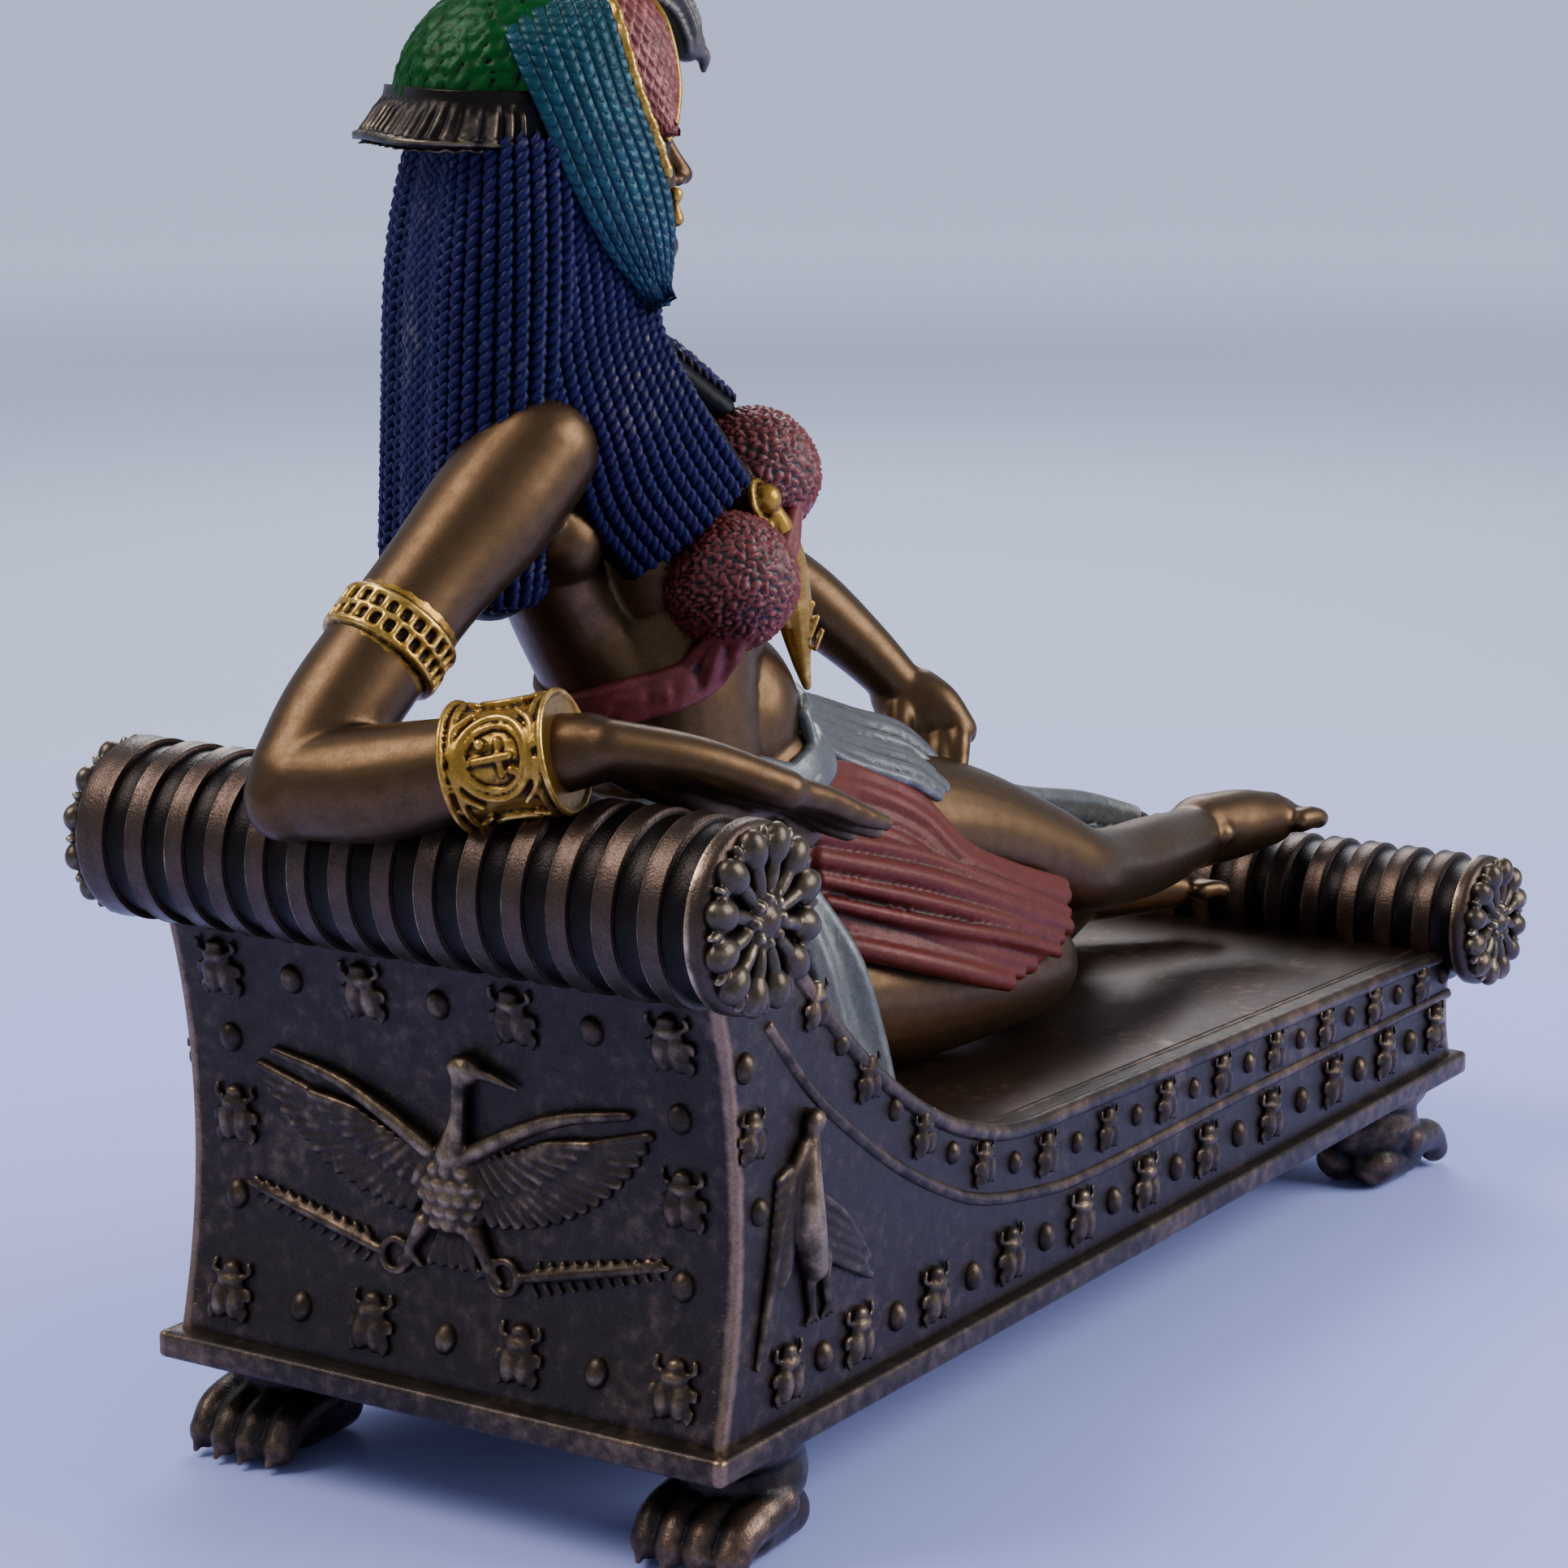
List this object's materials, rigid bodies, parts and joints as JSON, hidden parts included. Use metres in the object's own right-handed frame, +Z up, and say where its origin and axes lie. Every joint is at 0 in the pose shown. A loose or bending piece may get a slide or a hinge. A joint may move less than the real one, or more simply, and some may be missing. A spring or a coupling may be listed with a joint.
{
  "type": "statuette of a reclining queen",
  "caption": "Painted bronze-look resin statuette of an Egyptian queen reclining on a couch with ribbed rolls, relief panels and lion's paw feet.",
  "frame": {"origin": "on the ground, under the middle of the box round the whole statuette", "axes": "+Z up, X along the couch with the high head end at -X, the figure faces -Y and +X"},
  "size_m": [0.2712, 0.115, 0.2185],
  "materials": {
    "couch_bronze": "dark bronze patina with copper-rubbed edges",
    "figure_bronze": "dark golden bronze, painted in navy, teal, green, brick red and gold"
  },
  "bodies": {
    "root": {"couch": "couch_bronze", "figure": "figure_bronze"}
  },
  "joints": []
}
